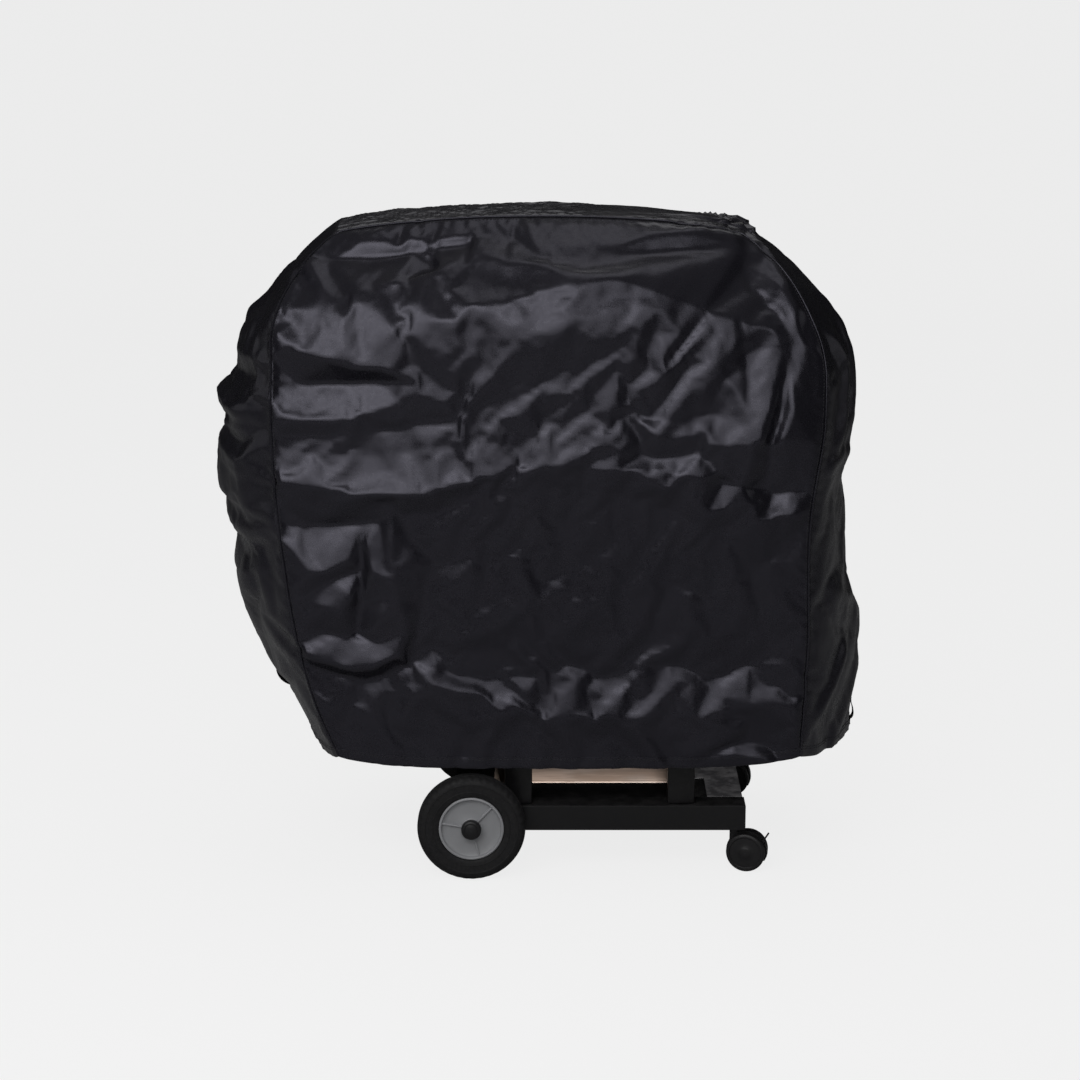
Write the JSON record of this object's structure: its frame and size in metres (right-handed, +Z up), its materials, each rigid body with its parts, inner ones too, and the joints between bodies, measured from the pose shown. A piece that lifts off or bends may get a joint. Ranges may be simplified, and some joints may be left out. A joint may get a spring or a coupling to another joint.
{
  "type": "covered barbecue on a wheeled cart",
  "caption": "Fitted black vinyl grill cover with a piped front and back panel and a bulging gusset, draped over a barbecue on a low cart with large wheels and swivel casters.",
  "frame": {"origin": "the centre of the base of the overall box: on the floor, below the middle of the cover and halfway between the front and back beams; the wheels stand on z = 0", "axes": "+Z up; +X to the right as seen from the front, from the large wheels towards the casters; the front panel faces -Y"},
  "size_m": [1.2569, 0.631, 1.2528],
  "materials": {
    "cover_vinyl": "satin black coated vinyl",
    "cover_piping": "satin black vinyl binding and webbing",
    "painted_steel": "satin black powder coat",
    "black_plastic": "moulded, matt black",
    "caster_plastic": "moulded, satin black",
    "rim_plastic": "moulded, satin grey",
    "wheel_rubber": "matt black",
    "bare_steel": "bright",
    "cast_aluminium": "black enamel on cast aluminium",
    "shelf_wood": "pale weathered timber",
    "side_shelf_wood": "pale weathered timber"
  },
  "bodies": {
    "cart": {"front_beam": "painted_steel", "rear_beam": "painted_steel", "left_side_beam": "painted_steel", "right_side_beam": "painted_steel", "left_slat_rail": "painted_steel", "right_slat_rail": "painted_steel", "front_left_leg": "painted_steel", "front_right_leg": "painted_steel", "rear_left_leg": "painted_steel", "rear_right_leg": "painted_steel", "left_cradle_rail": "painted_steel", "right_cradle_rail": "painted_steel", "left_shelf_bracket": "painted_steel", "right_shelf_bracket": "painted_steel", "shelf_slat_1": "painted_steel", "shelf_slat_2": "shelf_wood", "shelf_slat_3": "shelf_wood", "shelf_slat_4": "shelf_wood", "left_side_shelf": "side_shelf_wood", "right_side_shelf": "side_shelf_wood", "firebox": "cast_aluminium", "hood": "cast_aluminium", "cooking_grate": "bare_steel", "left_hood_hinge": "bare_steel", "right_hood_hinge": "bare_steel", "hood_handle": "black_plastic", "wheel_axle": "bare_steel", "front_wheel_spacer": "bare_steel", "rear_wheel_spacer": "bare_steel", "front_axle_bush": "black_plastic", "rear_axle_bush": "black_plastic", "front_axle_cap": "black_plastic", "rear_axle_cap": "black_plastic", "front_caster_socket": "black_plastic", "rear_caster_socket": "black_plastic"},
    "cover": {"cover_front_panel": "cover_vinyl", "cover_back_panel": "cover_vinyl", "cover_gusset": "cover_vinyl", "cover_front_piping": "cover_piping", "cover_back_piping": "cover_piping", "cover_hem": "cover_piping", "left_tie_loop": "cover_piping", "right_tie_loop": "cover_piping"},
    "front_wheel": {"front_wheel_tyre": "wheel_rubber", "front_wheel_rim": "rim_plastic"},
    "front_caster": {"front_caster_body": "black_plastic", "front_caster_stem": "bare_steel"},
    "front_caster_wheels": {"front_caster_outer_wheel": "caster_plastic", "front_caster_inner_wheel": "caster_plastic", "front_caster_axle": "bare_steel"},
    "front_caster_brake": {"front_caster_brake_lever": "caster_plastic"},
    "rear_wheel": {"rear_wheel_tyre": "wheel_rubber", "rear_wheel_rim": "rim_plastic"},
    "rear_caster": {"rear_caster_body": "black_plastic", "rear_caster_stem": "bare_steel"},
    "rear_caster_wheels": {"rear_caster_outer_wheel": "caster_plastic", "rear_caster_inner_wheel": "caster_plastic", "rear_caster_axle": "bare_steel"},
    "rear_caster_brake": {"rear_caster_brake_lever": "caster_plastic"}
  },
  "joints": [
    {"name": "cover_lift", "type": "slide", "parent": "cart", "child": "cover", "axis": [0, 0, 1], "range_m": [0, 1.05]},
    {"name": "front_wheel_spin", "type": "hinge", "parent": "cart", "child": "front_wheel", "pos_m": [-0.13, -0.284, 0.1025], "axis": [0, 1, 0], "continuous": true},
    {"name": "rear_wheel_spin", "type": "hinge", "parent": "cart", "child": "rear_wheel", "pos_m": [-0.13, 0.284, 0.1025], "axis": [0, 1, 0], "continuous": true},
    {"name": "front_caster_swivel", "type": "hinge", "parent": "cart", "child": "front_caster", "pos_m": [0.374, -0.2275, 0.0825], "axis": [0, 0, 1], "continuous": true},
    {"name": "front_caster_roll", "type": "hinge", "parent": "front_caster", "child": "front_caster_wheels", "pos_m": [0.39718, -0.23371, 0.0375], "axis": [0.2588, 0.9659, 0], "continuous": true},
    {"name": "front_brake_press", "type": "hinge", "parent": "front_caster", "child": "front_caster_brake", "pos_m": [0.42716, -0.24174, 0.05765], "axis": [0.2588, 0.9659, 0], "range_deg": [0, 25]},
    {"name": "rear_caster_swivel", "type": "hinge", "parent": "cart", "child": "rear_caster", "pos_m": [0.374, 0.2275, 0.0825], "axis": [0, 0, 1], "continuous": true},
    {"name": "rear_caster_roll", "type": "hinge", "parent": "rear_caster", "child": "rear_caster_wheels", "pos_m": [0.39748, 0.22251, 0.0375], "axis": [0.2079, 0.9781, 0], "continuous": true},
    {"name": "rear_brake_press", "type": "hinge", "parent": "rear_caster", "child": "rear_caster_brake", "pos_m": [0.42783, 0.21606, 0.05765], "axis": [0.2079, 0.9781, 0], "range_deg": [0, 25]}
  ]
}
